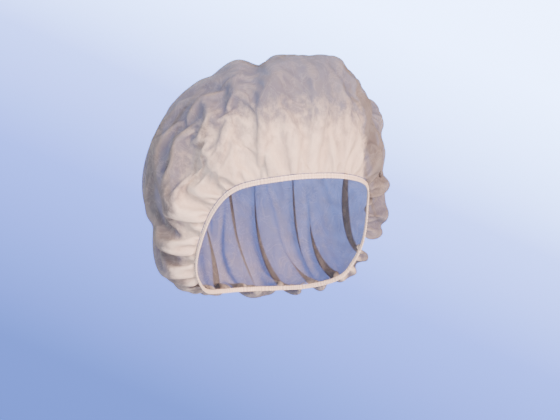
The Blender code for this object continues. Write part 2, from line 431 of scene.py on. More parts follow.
@dataclass(frozen=True)
class NonwovenFinish:
    """Thin spunbond cloth: cloudy, see-through where it stands alone and painted darker there as shade, cream
    where it is gathered, painted lighter on its lit front and fold crests.
    """

    # Single cloth: see-through blue and painted shade, far darker than the cloth's own cream
    thin_and_shaded: Colour = (0.168, 0.184, 0.225)
    thick: Colour = (0.88, 0.83, 0.79)
    # Painted highlight: the colour towards which fold crests, pleats and fine creases are lightened
    ridge_highlight: Colour = (0.95, 0.92, 0.90)
    # Multiplied in as random mottling and as painted shade in the soft dents
    mottle_and_dent_shade: Colour = (0.58, 0.54, 0.54)
    cloud_size: float = 0.011
    cloud_span: Span = (0.30, 0.70)
    patch_size: float = 0.034
    patch_span: Span = (0.36, 0.62)
    crease_size: float = 0.022
    crease_span: Span = (0.0, 0.045)
    fibre_size: float = 0.0006
    bond_pitch: float = 0.0016
    bond_span: Span = (0.16, 0.30)
    pleat_width: float = 0.0042
    pleat_span: Span = (0.32, 0.68)
    ungathered_pleats: float = 0.2
    gathered_thickness: float = 0.29
    backed_and_lit_thickness: float = 0.66
    cloud_thickness: float = 0.24
    pleat_thickness: float = 0.14
    ridge_highlight_thickness: float = 0.10
    thickness_span: Span = (0.20, 0.95)
    ridge_span: Span = (0.5, 1.0)
    ridge_light: float = 0.55
    pleat_light: float = 0.16
    thick_light: float = 0.80
    thin_light: float = 0.15
    crease_light: float = 0.08
    patch_shade: float = 0.46
    cloud_shade: float = 0.20
    cover: float = 0.80
    thick_cover: float = 0.13
    cloud_cover: float = 0.06
    bright_cover: float = 0.12
    bond_cover: float = 0.04
    fibre_relief: float = 0.10
    cloud_relief: float = 0.25
    bond_relief: float = 0.12
    crease_relief: float = 0.40
    pleat_relief: float = 0.9
    patch_relief: float = 3.0
    relief_strength: float = 0.6
    relief_height: float = 0.0011
    roughness: float = 0.62
    cloud_roughness: float = 0.16
    sheen: float = 0.06
    specular: float = 0.20
    thin_translucence: float = 0.03
    thick_translucence: float = 0.24

    def masks(self, graph: Graph, flat_width: float) -> ClothMasks:
        """Lays out what varies over the cloth.

        Args:
            graph: the material's nodes.
            flat_width: the width that the piece's UV map covers, in metres.

        Returns:
            The masks.
        """
        place = graph.node("ShaderNodeUVMap", {"uv_map": "flat"})
        clouds = graph.flat_noise(place, flat_width / self.cloud_size, Detail=5.0, Roughness=0.62)
        cloud = clouds.between(*self.cloud_span)
        patches = graph.flat_noise(
            place, flat_width / self.patch_size, Detail=7.0, Roughness=0.68, Distortion=0.15)
        swirls = graph.flat_noise(
            place, flat_width / self.crease_size, Detail=4.0, Roughness=0.7, Distortion=0.6)
        # Fine creases: bumped, and lightened as painted highlight
        painted_crease_tone = 1 - abs(swirls - 0.5).between(*self.crease_span)
        fibres = graph.flat_noise(place, flat_width / self.fibre_size, Detail=2.0, Distortion=2.5)
        bonds = graph.node(
            "ShaderNodeTexVoronoi", {"voronoi_dimensions": "2D"},
            {"Vector": place, "Scale": flat_width / self.bond_pitch, "Randomness": 0.25}, "Distance")
        streaks = graph.node("ShaderNodeTexNoise", sockets={
            "Vector": graph.attribute("pleats", "Vector"), "Scale": 1 / self.pleat_width,
            "Detail": 2.5, "Roughness": 0.6})
        gathered = graph.attribute("gathered")
        ridge_highlight = graph.attribute("ridge_highlight")
        spared = gathered * (1 - self.ungathered_pleats) + self.ungathered_pleats
        pleated = streaks.between(*self.pleat_span) * spared
        # Thickness is partly painted light: the lit front and the fold crests raise it, so the cloth is
        # lighter and cream there
        folded = (
            gathered * self.gathered_thickness
            + graph.attribute("backed_and_lit") * self.backed_and_lit_thickness
            + (cloud - 0.5) * self.cloud_thickness
            + pleated * self.pleat_thickness
            + ridge_highlight * self.ridge_highlight_thickness)
        thickness = folded.between(*self.thickness_span)
        # Painted highlight on fold crests, pleats and fine creases, stronger where the cloth is thick
        fold_highlight = ridge_highlight.between(*self.ridge_span) * self.ridge_light + pleated * self.pleat_light
        bright = fold_highlight * (thickness * self.thick_light + self.thin_light) + painted_crease_tone * self.crease_light
        bond = 1 - bonds.between(*self.bond_span)
        return ClothMasks(cloud, patches, painted_crease_tone, fibres, bond, pleated, ridge_highlight, thickness, bright)

    def colour(self, graph: Graph, masks: ClothMasks) -> Shade:
        """Mixes the cloth's colour: mottled, with painted shade in soft dents, darker where single and cream
        where layered, and painted lightest on fold crests as highlight.

        Args:
            graph: the material's nodes.
            masks: what varies over the cloth.

        Returns:
            The colour.
        """
        even = graph.mix(masks.thickness, self.thin_and_shaded, self.thick)
        # Painted shade in the soft dents that the patches and clouds sink, over random mottling
        patch = 1 - masks.patches.between(*self.patch_span)
        shaded = patch * self.patch_shade + (1 - masks.cloud) * self.cloud_shade
        body = graph.mix(shaded, even, self.mottle_and_dent_shade, Blend.MULTIPLY)
        return graph.mix(masks.bright.at_most(1.0), body, self.ridge_highlight)

    def opacity(self, masks: ClothMasks) -> Shade:
        """Works out how much of what is behind the cloth it hides."""
        cover = masks.thickness * self.thick_cover + self.cover + masks.cloud * self.cloud_cover
        return (cover + masks.bright * self.bright_cover - masks.bond * self.bond_cover).at_most(1.0)

    def relief(self, graph: Graph, masks: ClothMasks) -> Shade:
        """Raises soft patches, pleats, creases and fibres, and sinks the bonds.

        Args:
            graph: the material's nodes.
            masks: what varies over the cloth.

        Returns:
            The bumped normal.
        """
        height = (
            masks.fibres * self.fibre_relief
            + masks.cloud * self.cloud_relief
            - masks.bond * self.bond_relief
            + masks.painted_crease_tone * self.crease_relief
            + masks.pleated * self.pleat_relief
            + masks.patches * self.patch_relief)
        return graph.node("ShaderNodeBump", sockets={
            "Height": height, "Strength": self.relief_strength, "Distance": self.relief_height})

    def material(self, flat_width: float) -> bpy.types.Material:
        """Builds the material.

        Args:
            flat_width: the width that the piece's UV map covers, in metres.

        Returns:
            The finished material.
        """
        graph = Graph("nonwoven_cloth")
        masks = self.masks(graph, flat_width)
        bump = self.relief(graph, masks)
        surface = graph.node("ShaderNodeBsdfPrincipled", sockets={
            "Base Color": self.colour(graph, masks),
            "Roughness": self.roughness + masks.cloud * self.cloud_roughness,
            "Alpha": self.opacity(masks),
            "Sheen Weight": self.sheen,
            "Specular IOR Level": self.specular,
            "Normal": bump,
        })
        glow = graph.node("ShaderNodeBsdfTranslucent", sockets={"Color": (*self.thick, 1), "Normal": bump})
        let_through = masks.thickness * self.thick_translucence + self.thin_translucence
        both = graph.node("ShaderNodeMixShader", sockets={0: let_through, 1: surface, 2: glow})
        return graph.finished(both)


@dataclass(frozen=True)
class CasingFinish:
    """The band's casing: several layers of the same cloth, crimped over the elastic."""

    # The lit cloth on the crimps' crests, and the painted shade in their troughs and in the groove
    cloth: Colour = (0.88, 0.83, 0.79)
    painted_crease_tone: Colour = (0.60, 0.53, 0.50)
    fibre_size: float = 0.0005
    cloud_size: float = 1 / 140
    cloud_span: Span = (0.3, 0.7)
    cloud_share: float = 0.2
    relief_strength: float = 0.3
    relief_height: float = 0.0002
    roughness: float = 0.70
    fibre_roughness: float = 0.15
    sheen: float = 0.2

    def material(self) -> bpy.types.Material:
        """Builds the material.

        Returns:
            The finished material.
        """
        graph = Graph("casing_cloth")
        place = graph.node("ShaderNodeTexCoord", output="Object")
        fibres = graph.node("ShaderNodeTexNoise", sockets={
            "Vector": place, "Scale": 1 / self.fibre_size, "Detail": 3.0, "Distortion": 1.5})
        clouds = graph.node(
            "ShaderNodeTexNoise", sockets={"Vector": place, "Scale": 1 / self.cloud_size, "Detail": 3.0})
        cloud = clouds.between(*self.cloud_span)
        # Painted light and shade from the crimps and the groove, with a little random cloud
        shade = graph.attribute("ridge_highlight") * (1 - self.cloud_share) + cloud * self.cloud_share
        surface = graph.node("ShaderNodeBsdfPrincipled", sockets={
            "Base Color": graph.mix(shade.between(0.0, 1.0), self.painted_crease_tone, self.cloth),
            "Roughness": self.roughness + fibres * self.fibre_roughness,
            "Sheen Weight": self.sheen,
            "Normal": graph.node("ShaderNodeBump", sockets={
                "Height": fibres, "Strength": self.relief_strength, "Distance": self.relief_height}),
        })
        return graph.finished(surface)


@dataclass
class CapForm:
    """The form that the cap keeps when worn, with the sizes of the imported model."""

    opening_depth: float = 0.171
    opening_width: float = 0.156
    opening_rise: float = 0.117
    lean_height: float = 0.300
    crown_length: float = 0.250
    crown_width: float = 0.208
    crown_top: float = 0.160
    set_back: float = 0.032
    peak_forward: float = 0.020
    cloth_thickness: float = 0.0010
    fold_height: float = 0.0100
    fold_step: float = 0.01
    band_width: float = 0.0045
    band_seat: float = 0.0003
    seat_count: int = 96
    curve_steps: int = 16

    def seats(self) -> np.ndarray:
        """Lays out the band's seats.

        Returns:
            A row of place, way out and way up for each step round the band.
        """
        size = np.array([self.opening_width, -self.opening_depth, self.opening_rise]) / 2
        half = BAND_STATIONS * size
        loop = np.concatenate([half, half[-2:0:-1] * (-1, 1, 1)])
        places = np.arange(len(loop) * self.curve_steps + 1) / self.curve_steps
        curve = closed_curve(loop, places)
        shares = np.arange(self.seat_count) / self.seat_count
        points = spread_along(curve[None], shares)[0][0]
        along = unit(np.roll(points, -1, axis=0) - np.roll(points, 1, axis=0))
        away = points / np.array([self.opening_width, self.opening_depth, self.lean_height]) ** 2
        away = unit(away - along * dot(away, along))
        return np.concatenate([points, away, np.cross(away, along)], axis=1)

    def seats_at(self, turns: np.ndarray) -> np.ndarray:
        """The seats at any turns."""
        return closed_curve(self.seats(), turns * self.seat_count)

    def profiles(self, turns: np.ndarray) -> np.ndarray:
        """Draws smooth lines from the peak to the hem.

        Args:
            turns: the turn of each line.

        Returns:
            One line of points for each turn.
        """
        reach, waist, shoulder, belly, flare, lift = closed_curve(
            CROWN_SECTIONS, turns * len(CROWN_SECTIONS)).T[:, :, None]
        seat = self.seats_at(turns)
        angle = math.tau * turns
        peak = np.array([0, -self.peak_forward, self.crown_top])
        widest = np.stack([
            np.sin(angle) * reach[:, 0] * self.crown_width / 2,
            self.set_back - np.cos(angle) * reach[:, 0] * self.crown_length / 2,
            waist[:, 0] * self.crown_top,
        ], axis=1)[:, None]
        swing = math.pi / 2 * np.arange(self.curve_steps) / self.curve_steps
        outward = (np.sin(swing) ** (2 / shoulder))[..., None]
        upward = (np.cos(swing) ** (2 / shoulder))[..., None]
        over = peak * (1 - outward) + widest * outward
        over[..., 2:] = widest[..., 2:] + (self.crown_top - widest[..., 2:]) * upward
        point, away, up = seat[:, None, 0:3], seat[:, None, 3:6], seat[:, None, 6:9]
        hem = point + up * (self.band_width / 2 + self.band_seat) + away * self.cloth_thickness / 2
        opened = np.radians(flare)[..., None]
        lifted = (up * np.cos(opened) + away * np.sin(opened)) * lift[..., None] * self.opening_depth
        hung = belly[..., None] * (widest[..., 2:] - hem[..., 2:]) * np.array([0, 0, 1])
        share = np.linspace(0, 1, self.curve_steps)[:, None]
        under = (
            widest * (1 - share) ** 3 + (widest - hung) * 3 * share * (1 - share) ** 2
            + (hem + lifted) * 3 * share ** 2 * (1 - share) + hem * share ** 3)
        return np.concatenate([over, under], axis=1)

    def fold_heights(self, points: np.ndarray) -> np.ndarray:
        """Adds up the main folds.

        Args:
            points: points of the smooth crown.

        Returns:
            How far the folds stand out from each point.
        """
        heights = np.zeros(points.shape[:-1])
        for turn, drop, heading, length, width, height in MAIN_FOLDS:
            lines = self.profiles(np.array([turn, turn + self.fold_step]))
            spots = spread_along(lines, np.array([drop, drop + self.fold_step]))[0]
            (middle, below), (level, _) = spots
            down = unit(below - middle)
            level = unit(level - middle - down * dot(level - middle, down))
            tilt = math.radians(heading)
            across = level * math.cos(tilt) - down * math.sin(tilt)
            offset = points - middle
            side = dot(offset, across)
            run = np.linalg.norm(offset - across * side, axis=-1)
            spread = (run / length) ** 2 + (side[..., 0] / width) ** 2
            heights += height * self.fold_height * np.exp(-spread / self.crown_length ** 2)
        return heights


@dataclass
class Cloth:
    """How a grid of columns and rings of cloth settles on a form."""

    # Each point's links, as columns aside, rings down and firmness
    weave: tuple[tuple[int, int, float], ...] = (
        (1, 0, 0.9), (0, 1, 0.9), (1, 1, 0.35), (-1, 1, 0.35), (2, 0, 0.25), (0, 2, 0.25))
    # From the coarse grid to the fine one: columns between points, and passes
    column_skips: tuple[int, ...] = (4, 2, 1)
    passes: tuple[int, ...] = (160, 120, 80)
    wave_fade: float = 0.5
    # How often and how firmly the cloth is held to the form, and how far from it a point may lie
    hold_every: int = 4
    form_keeping: float = 0.5
    most_move: float = 0.0085
    # Waves round and down the grid up to which a change counts as slow
    broad_round: float = 5.0
    broad_down: float = 2.2

    def links(self, rest: np.ndarray) -> list[tuple[np.ndarray, np.ndarray, np.ndarray, float]]:
        """Finds what joins the points of the cloth.

        Args:
            rest: each point's place on the drawn-in flat disc, by column and ring.

        Returns:
            Groups of links that share no point: their two ends, lengths and firmness.
        """
        columns, rings = rest.shape[:2]
        places = rest.reshape(-1, 3)
        number = np.arange(columns * rings).reshape(columns, rings)
        column, ring = np.indices((columns, rings))
        groups = []
        for aside, down, firmness in self.weave:
            first = number[:, : rings - down]
            second = np.roll(number, -aside, axis=0)[:, down:]
            length = np.linalg.norm(places[second] - places[first], axis=-1)
            turn_of = column // abs(aside) if down == 0 else ring // down
            for half in (0, 1):
                own = turn_of[:, : rings - down] % 2 == half
                groups.append((first[own], second[own], length[own][:, None], firmness))
        return groups

    def broad(self, values: np.ndarray) -> np.ndarray:
        """Finds what changes only slowly over a grid.

        Args:
            values: a row of numbers for each column and ring.

        Returns:
            The slow part of the values.
        """
        columns, rings = values.shape[:2]
        mirrored = np.concatenate([values, values[:, ::-1]], axis=1)
        waves = np.fft.fft2(mirrored, axes=(0, 1))
        round_it = np.fft.fftfreq(columns, 1 / columns)[:, None]
        down_it = np.fft.fftfreq(2 * rings, 1 / rings)[None]
        keep = np.exp(-(round_it / self.broad_round) ** 2 - (down_it / self.broad_down) ** 2)
        return np.fft.ifft2(waves * keep[..., None], axes=(0, 1)).real[:, :rings]

    def relax(self, target: np.ndarray, start: np.ndarray, rest: np.ndarray, passes: int) -> np.ndarray:
        """Lets the cloth buckle towards its flat lengths while the band holds its hem.

        Args:
            target: the form that it keeps on the whole, by column and ring.
            start: where it starts.
            rest: its places on the drawn-in flat disc.
            passes: how often every link is pulled towards its length.

        Returns:
            The settled points, by column and ring.
        """
        groups = self.links(rest)
        points = start.reshape(-1, 3).copy()
        kept = target.reshape(-1, 3)
        hem = np.arange(len(points)).reshape(target.shape[:2])[:, -1]
        for number in range(passes):
            for first, second, length, firmness in groups:
                apart = points[second] - points[first]
                now = np.maximum(np.linalg.norm(apart, axis=1, keepdims=True), TINY)
                move = apart * (firmness / 2 * (1 - length / now))
                points[first] += move
                points[second] -= move
            points[hem] = kept[hem]
            if (number + 1) % self.hold_every == 0:
                off = (points - kept).reshape(target.shape)
                points -= self.broad(off).reshape(-1, 3) * self.form_keeping
                off = points - kept
                reach = np.linalg.norm(off, axis=1, keepdims=True)
                points = kept + off * (self.most_move / np.maximum(reach, self.most_move))
        return points.reshape(target.shape)

    @staticmethod
    def finer(coarse: np.ndarray) -> np.ndarray:
        """Twice as many columns of a grid's values, the new ones half way between."""
        middle = (coarse + np.roll(coarse, -1, axis=0)) / 2
        return np.stack([coarse, middle], axis=1).reshape(-1, *coarse.shape[1:])

    def settle(self, target: np.ndarray, rest: np.ndarray, waves: np.ndarray) -> np.ndarray:
        """Buckles the cloth in wide folds first and then in finer ones.

        Args:
            target: the form that it keeps on the whole, by column and ring.
            rest: its places on the drawn-in flat disc.
            waves: how far each point is moved at first, less with each finer grid.

        Returns:
            The settled points, by column and ring.
        """
        off = np.zeros_like(target[:: self.column_skips[0]])
        for skip, passes in zip(self.column_skips, self.passes):
            form = target[::skip]
            start = form + off + waves[::skip]
            off = self.relax(form, start, rest[::skip], passes) - form
            log.info("cloth of %d columns moved %.1f mm at most", len(form), 1000 * np.abs(off).max())
            if skip > 1:
                off = self.finer(off)
                waves = waves * self.wave_fade
        return target + off


@dataclass
class Crown:
    """The crown: one disc of nonwoven, gathered on the band and puffed out."""

    form: CapForm = field(default_factory=CapForm)
    cloth: Cloth = field(default_factory=Cloth)
    finish: NonwovenFinish = field(default_factory=NonwovenFinish)
    disc_width: float = 0.533
    peak_offset: float = 0.118
    columns: int = 384
    rings: int = 80
    ring_ease: float = 1.1
    # Above each drop, the points of a ring stand so many columns apart
    sparse_rings: tuple[tuple[float, int], ...] = ((0.42, 2), (0.16, 4), (0.07, 8))
    hem_rise: float = 0.016
    hem_fullness: float = 1.9
    flat_share: float = 0.45
    drawing_steps: int = 200
    loop_length: float = 0.586
    gathers: int = 96
    gather_height: float = 0.0026
    gather_rise: float = 0.016
    gather_start: float = 0.3
    gather_reach: float = 0.060
    least_reach: float = 0.35
    gather_unevenness: float = 0.5
    # How many waves round the loop crowd the gathers, and by how much of one
    gather_drifts: tuple[tuple[int, float], ...] = ((17, 0.25), (29, 0.2))
    # Uneven start of the buckles
    dent_height: float = 0.0016
    dent_waves: int = 60
    dent_lengths: Span = (0.022, 0.060)
    # Where the cloth lies calm: over the front, and near the peak
    front_turn: float = -0.01
    front_span: Span = (0.07, 0.18)
    front_drop: float = 0.30
    front_calm: float = 0.45
    top_span: Span = (0.20, 0.45)
    top_calm: float = 0.60
    # Dips under fine folds (turn, drop, reach in turns, reach in drops, depth)
    trims: tuple[tuple[float, float, float, float, float], ...] = (
        (0.17, 0.50, 0.08, 0.35, 0.0050),
        (0.62, 0.88, 0.08, 0.16, 0.0045),
        (0.66, 0.30, 0.07, 0.14, -0.0020),
        (0.62, 0.07, 0.10, 0.07, 0.0035),
        (0.72, 0.16, 0.05, 0.07, 0.0020),
    )
    ridge_passes: int = 12
    ridge_depth: float = 0.004
    gathered_reach: float = 0.044
    pleat_stretch: float = 0.14
    # Where light is painted on, as if the cloth were lit and had something behind it: near an oval inside it,
    # short of its far edge, facing front, low down
    backing_size: Place = (0.080, 0.098, 0.150)
    backing_span: Span = (1.15, 1.50)
    edge_way: Place = (0.927, -0.375, 0.0)
    edge_span: Span = (0.067, 0.078)
    # Past the far edge the gathers' cream fades as well: painted shade on that side
    far_edge_shade: float = 0.85
    front_way: Place = (-0.22, -0.97, 0.10)
    facing_span: Span = (0.20, 0.75)
    backed_and_lit_span: Span = (0.088, 0.143)
    seed: int = 7

    def laid_out(self) -> tuple[np.ndarray, np.ndarray, np.ndarray]:
        """Lays the cloth over the smooth form.

        Returns:
            Each point by column and ring, its distance from the hem, and each ring's drop.
        """
        drops = 1 - (1 - np.arange(1, self.rings + 1) / self.rings) ** self.ring_ease
        turns = np.arange(self.columns) / self.columns
        grid, spans = spread_along(self.form.profiles(turns), drops)
        return grid, spans[:, None] * (1 - drops[None]), drops

    @staticmethod
    def normals(grid: np.ndarray) -> np.ndarray:
        """Outward normals of a grid of columns and rings."""
        round_it = np.roll(grid, -1, axis=0) - np.roll(grid, 1, axis=0)
        return unit(np.cross(np.gradient(grid, axis=1), round_it))

    def waves(self, turns: np.ndarray, distance: np.ndarray) -> np.ndarray:
        """Raises the fine gathers, each of its own size and reach.

        Args:
            turns: each column's turn.
            distance: each point's distance from the hem.

        Returns:
            The gathers' height at each point.
        """
        chance = np.random.default_rng(self.seed)
        sizes = 1 - self.gather_unevenness * chance.random(self.gathers)
        reaches = self.least_reach + (1 - self.least_reach) * chance.random(self.gathers) ** 2
        place = turns * self.gathers
        for count, drift in self.gather_drifts:
            place = place + drift * np.sin(turns * math.tau * count)
        index = np.round(place).astype(int) % self.gathers
        rise = self.gather_start + (1 - self.gather_start) * ease(distance / self.gather_rise)
        fade = 1 - ease(distance / (self.gather_reach * reaches[index])[:, None])
        return self.gather_height * (sizes[index] * np.cos(math.tau * place))[:, None] * rise * fade

    def dents(self, grid: np.ndarray) -> np.ndarray:
        """Adds up soft uneven heights that say where the cloth buckles first.

        Args:
            grid: the points, by column and ring.

        Returns:
            A height for each point.
        """
        chance = np.random.default_rng(self.seed + 1)
        total = np.zeros(grid.shape[:2])
        for _ in range(self.dent_waves):
            way = unit(chance.normal(size=3))
            wavelength = chance.uniform(*self.dent_lengths)
            phase = chance.uniform(0, math.tau)
            total += np.cos(grid @ way * math.tau / wavelength + phase)
        return self.dent_height * total / math.sqrt(self.dent_waves / 2)

    def trimmed(self, turns: np.ndarray, drops: np.ndarray) -> np.ndarray:
        """Works out how much lower the cloth starts where fine folds would stand proud of the form.

        Args:
            turns: each column's turn.
            drops: each ring's drop.

        Returns:
            A depth for each point.
        """
        total = np.zeros((len(turns), len(drops)))
        for turn, drop, turn_reach, drop_reach, depth in self.trims:
            beside = turns_from(turns, turn)[:, None] / turn_reach
            below = (drops[None] - drop) / drop_reach
            total += depth * np.exp(-beside ** 2 - below ** 2)
        return total

    def freedom(self, turns: np.ndarray, drops: np.ndarray) -> np.ndarray:
        """Works out how freely the cloth may fold: least at the front, where it lies close.

        Args:
            turns: each column's turn.
            drops: each ring's drop.

        Returns:
            A share for each point.
        """
        beside = np.abs(turns_from(turns, self.front_turn))
        front = (1 - rising(beside, self.front_span))[:, None] * ease(drops / self.front_drop)[None]
        top = 1 - rising(drops, self.top_span)
        return (1 - self.front_calm * front) * (1 - self.top_calm * top[None])

    def flat_places(self, turns: np.ndarray, drops: np.ndarray) -> np.ndarray:
        """Finds where each point of the grid lies on the flat disc.

        Args:
            turns: each column's turn.
            drops: each ring's drop.

        Returns:
            The two coordinates of each point, from the disc's centre.
        """
        angle = math.tau * turns
        rim = np.stack([np.sin(angle), -np.cos(angle)], axis=1)[:, None] * self.disc_width / 2
        peak = np.array([0, -self.peak_offset])
        return peak + (rim - peak) * drops[None, :, None]

    def drawn_in(self, flat: np.ndarray) -> np.ndarray:
        """Draws the flat disc in towards its edge, where the band takes up the rest as fine crimps.

        Args:
            flat: each point's place on the flat disc.

        Returns:
            Each point's place on the drawn-in disc, with every length down it kept.
        """
        radius = np.linalg.norm(flat, axis=-1)
        edge = self.disc_width / 2
        band = self.form.seats()[:, :3]
        band_length = np.linalg.norm(np.diff(band, axis=0, append=band[:1]), axis=1).sum()
        edge_radius = self.hem_fullness * band_length / math.tau
        steps = np.linspace(0, edge, self.drawing_steps)
        turned = self.flat_share * edge
        share = np.clip((steps - turned) / (edge - turned), 0, 1)
        slope = 1 - share * 2 * (1 - (edge_radius - turned) / (edge - turned))
        across = slope[1:] * np.diff(steps)
        down = np.sqrt(np.clip(1 - slope[1:] ** 2, 0, 1)) * np.diff(steps)
        new_radius = np.interp(radius, steps, np.concatenate([[0], np.cumsum(across)]))
        height = -np.interp(radius, steps, np.concatenate([[0], np.cumsum(down)]))
        way = flat / np.maximum(radius, TINY)[..., None]
        return np.concatenate([way * new_radius[..., None], height[..., None]], axis=-1)

    def buckled(
        self, grid: np.ndarray, distance: np.ndarray, turns: np.ndarray, drops: np.ndarray,
    ) -> np.ndarray:
        """Gives the smooth crown its folds, gathers and buckles.

        Args:
            grid: the smooth crown's points, by column and ring.
            distance: each point's distance from the hem.
            turns: each column's turn.
            drops: each ring's drop.

        Returns:
            The points of the settled cloth.
        """
        outward = self.normals(grid)
        held = ease(distance / self.hem_rise)
        folds = held * (self.form.fold_heights(grid) - self.trimmed(turns, drops))
        target = grid + outward * folds[..., None]
        freedom = self.freedom(turns, drops)
        waves = outward * (held * self.dents(grid) * freedom + self.waves(turns, distance))[..., None]
        rest = self.drawn_in(self.flat_places(turns, drops))
        off = self.cloth.settle(target, rest, waves) - target
        return target + (off - self.cloth.broad(off)) * freedom[..., None]

    def ring_skips(self, drops: np.ndarray) -> list[int]:
        """Thins out the points of the rings near the peak.

        Args:
            drops: each ring's drop.

        Returns:
            How many columns apart each ring's points stand.
        """
        skips = np.ones(len(drops), int)
        for drop, skip in self.sparse_rings:
            skips[drops < drop] = skip
        return skips.tolist()

    def sheet(self, grid: np.ndarray, drops: np.ndarray) -> tuple[bpy.types.Mesh, np.ndarray]:
        """Meshes the grid, with fewer points round each ring near the peak.

        Args:
            grid: points by column and ring.
            drops: each ring's drop.

        Returns:
            The mesh, and the column and ring of each of its points after the first, the peak.
        """
        points = [tuple(self.form.profiles(np.array([0.0]))[0, 0])]
        picked = []
        rings = []
        for ring, skip in enumerate(self.ring_skips(drops)):
            columns = range(0, self.columns, skip)
            start = len(points)
            points.extend(map(tuple, grid[::skip, ring]))
            picked.extend((column, ring) for column in columns)
            rings.append(range(start, start + len(columns)))
        first = rings[0]
        faces = [(0, corner, first[(index + 1) % len(first)]) for index, corner in enumerate(first)]
        for upper, lower in zip(rings, rings[1:]):
            split = len(lower) // len(upper)
            for index, corner in enumerate(upper):
                beside = upper[(index + 1) % len(upper)]
                left = lower[index * split]
                right = lower[(index + 1) * split % len(lower)]
                if split == 1:
                    faces.append((corner, left, right, beside))
                    continue
                middle = lower[index * split + 1]
                faces.extend([(corner, left, middle), (corner, middle, beside), (beside, middle, right)])
        mesh = bpy.data.meshes.new("crown_cloth")
        mesh.from_pydata(points, [], faces)
        return mesh, np.array(picked)

    def write_masks(self, mesh: bpy.types.Mesh, normals: np.ndarray, distance: np.ndarray) -> None:
        """Stores where the cloth stands out and where it is gathered, and paints light on its front as if lit
        with something behind it.

        Args:
            mesh: the crown's mesh.
            normals: the smooth crown's normal at each of its points.
            distance: each point's distance from the hem.
        """
        points = read_points(mesh)
        above = dot(points - smoothed(mesh, points, self.ridge_passes), normals)[:, 0]
        past_edge = rising(points @ np.array(self.edge_way), self.edge_span)
        # Past the far edge the gathers fade: painted shade on that side
        gathered = (1 - ease(distance / self.gathered_reach)) * (1 - self.far_edge_shade * past_edge)
        below = 1 - rising(points[:, 2], self.backed_and_lit_span)
        clear = np.linalg.norm(points / np.array(self.backing_size), axis=1)
        near = 1 - rising(clear, self.backing_span)
        facing = rising(normals @ np.array(self.front_way), self.facing_span)
        # Crest height over the evened cloth, for the painted highlight on fold crests
        write_attribute(mesh, "ridge_highlight", np.clip(0.5 + above / self.ridge_depth, 0, 1))
        write_attribute(mesh, "gathered", gathered)
        # Painted light on the front, low down and near the middle
        write_attribute(mesh, "backed_and_lit", facing * (1 - past_edge) * below * near)

    def write_pleats(self, mesh: bpy.types.Mesh, turns: np.ndarray, distance: np.ndarray) -> None:
        """Stores places on which a noise runs in streaks down the crown.

        Args:
            mesh: the crown's mesh.
            turns: the turn of each of its points but the peak.
            distance: each point's distance from the hem.
        """
        angle = math.tau * turns
        loop = np.stack([np.cos(angle), np.sin(angle)], axis=1) * self.loop_length / math.tau
        loop = np.concatenate([[[0, 0]], loop])
        write_vectors(mesh, "pleats", np.column_stack([loop, distance * self.pleat_stretch]))

    def write_flat(self, mesh: bpy.types.Mesh, flat: np.ndarray) -> None:
        """Makes the flat disc the mesh's UV map.

        Args:
            mesh: the crown's mesh.
            flat: each point's place on the flat disc.
        """
        layer = mesh.uv_layers.new(name="flat")
        corners = np.empty(len(mesh.loops), np.int32)
        mesh.loops.foreach_get("vertex_index", corners)
        layer.data.foreach_set("uv", (flat[corners] / self.disc_width + 0.5).astype(np.float32).ravel())

    def build(self) -> bpy.types.Object:
        """Builds the crown, dresses it and hands it to the frame.

        Returns:
            The finished piece.
        """
        grid, distance, drops = self.laid_out()
        turns = np.arange(self.columns) / self.columns
        mesh, picked = self.sheet(self.buckled(grid, distance, turns, drops), drops)
        column, ring = picked.T
        normals = np.concatenate([[[0, 0, 1]], self.normals(grid)[column, ring]])
        from_hem = np.concatenate([[distance.max()], distance[column, ring]])
        flat = self.flat_places(turns, drops)[column, ring]
        self.write_masks(mesh, normals, from_hem)
        self.write_pleats(mesh, turns[column], from_hem)
        self.write_flat(mesh, np.concatenate([[[0, -self.peak_offset]], flat]))
        mesh.shade_smooth()
        mesh.materials.append(self.finish.material(self.disc_width))
        piece = new_object("crown_cloth", mesh)
        subdivide = piece.modifiers.new("smooth", "SUBSURF")
        subdivide.levels = 1
        subdivide.render_levels = 1
        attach(piece, "root")
        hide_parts("crown")
        log.info("crown cloth: %d points", len(mesh.vertices))
        return piece


